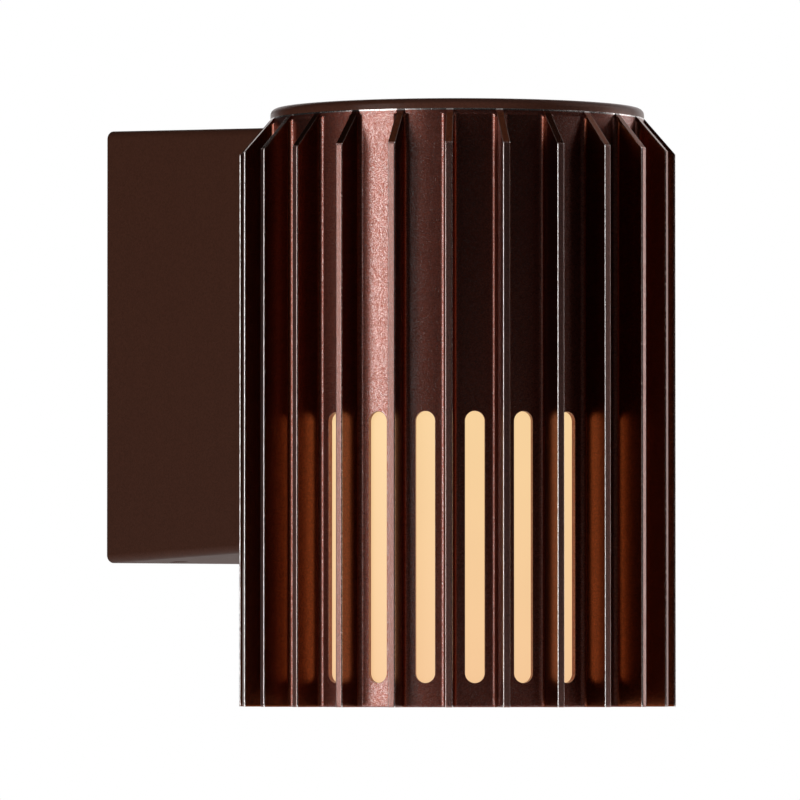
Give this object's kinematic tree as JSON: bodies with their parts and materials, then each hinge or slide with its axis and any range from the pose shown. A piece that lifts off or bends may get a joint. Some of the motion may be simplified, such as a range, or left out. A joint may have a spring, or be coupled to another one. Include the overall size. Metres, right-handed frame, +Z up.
{
  "type": "wall light",
  "caption": "Outdoor wall light: a finned metal tube with upright slots over a glowing opal diffuser, a flat round cap and a drafted box that clamps on a wall bracket.",
  "frame": {"origin": "on the wall, at the middle between the bracket's two screw slots, which is the middle of the wall box", "axes": "+Z up along the shade, +Y into the wall, the shade stands out towards -Y, +X to the right seen from the front"},
  "size_m": [0.0944, 0.1377, 0.13],
  "materials": {
    "brown_shade": "dark brown metallic powder coat, satin",
    "brown_cap": "dark brown metallic powder coat, satin",
    "brown_box": "dark brown powder coat, matt",
    "zinc_steel": "zinc plated",
    "bare_aluminium": "as cast",
    "black_rubber": "matt",
    "grey_silicone": "matt",
    "white_moulding": "moulded",
    "brass": "plain",
    "nickel": "nickel plated",
    "lamp_opal": "opal",
    "diffuser_opal": "opal, satin",
    "brown_sleeve": "wire sleeve",
    "blue_sleeve": "wire sleeve",
    "green_sleeve": "wire sleeve"
  },
  "bodies": {
    "bracket": {"wall_bracket": "zinc_steel", "cable_grommet": "black_rubber"},
    "fixture": {"wall_box": "brown_box", "wall_seal": "black_rubber", "set_screw_left": "zinc_steel", "set_screw_right": "zinc_steel", "saddle_seal": "black_rubber", "finned_shade": "brown_shade", "top_cap": "brown_cap", "cap_seal": "black_rubber", "lamp_carrier": "bare_aluminium", "cap_screw_1": "zinc_steel", "cap_screw_2": "zinc_steel", "cap_screw_3": "zinc_steel", "box_screw_upper": "zinc_steel", "box_screw_lower": "zinc_steel", "lead_bush": "grey_silicone", "lampholder_body": "white_moulding", "lampholder_ring": "white_moulding", "lampholder_shell": "brass", "lampholder_contact": "brass", "terminal_block": "white_moulding", "terminal_screw_left": "zinc_steel", "terminal_screw_right": "zinc_steel", "earth_tag": "brass", "earth_screw": "zinc_steel", "lead_live": "brown_sleeve", "lead_neutral": "blue_sleeve", "lead_earth": "green_sleeve"},
    "jar_seat": {"diffuser_seal": "grey_silicone"},
    "jar": {"diffuser": "diffuser_opal"},
    "lamp_seat": {"lamp_tip": "brass"},
    "lamp": {"lamp_cap": "nickel", "lamp_collar": "white_moulding", "lamp_globe": "lamp_opal"}
  },
  "joints": [
    {"name": "fixture_pull_off", "type": "slide", "parent": "bracket", "child": "fixture", "axis": [0, -1, 0], "range_m": [0, 0.03]},
    {"name": "diffuser_travel", "type": "slide", "parent": "fixture", "child": "jar_seat", "axis": [0, 0, -1], "range_m": [0, 0.008]},
    {"name": "diffuser_turn", "type": "hinge", "parent": "jar_seat", "child": "jar", "pos_m": [0, -0.0905, 0], "axis": [0, 0, -1], "range_deg": [0, 720]},
    {"name": "lamp_travel", "type": "slide", "parent": "fixture", "child": "lamp_seat", "axis": [0, 0, -1], "range_m": [0, 0.0145]},
    {"name": "lamp_turn", "type": "hinge", "parent": "lamp_seat", "child": "lamp", "pos_m": [0, -0.0905, 0], "axis": [0, 0, -1], "range_deg": [0, 1440]}
  ],
  "couplings": [
    {"joint": "diffuser_travel", "follows": "diffuser_turn", "m_per_rad": 0.0006366},
    {"joint": "lamp_travel", "follows": "lamp_turn", "m_per_rad": 0.0005761}
  ]
}
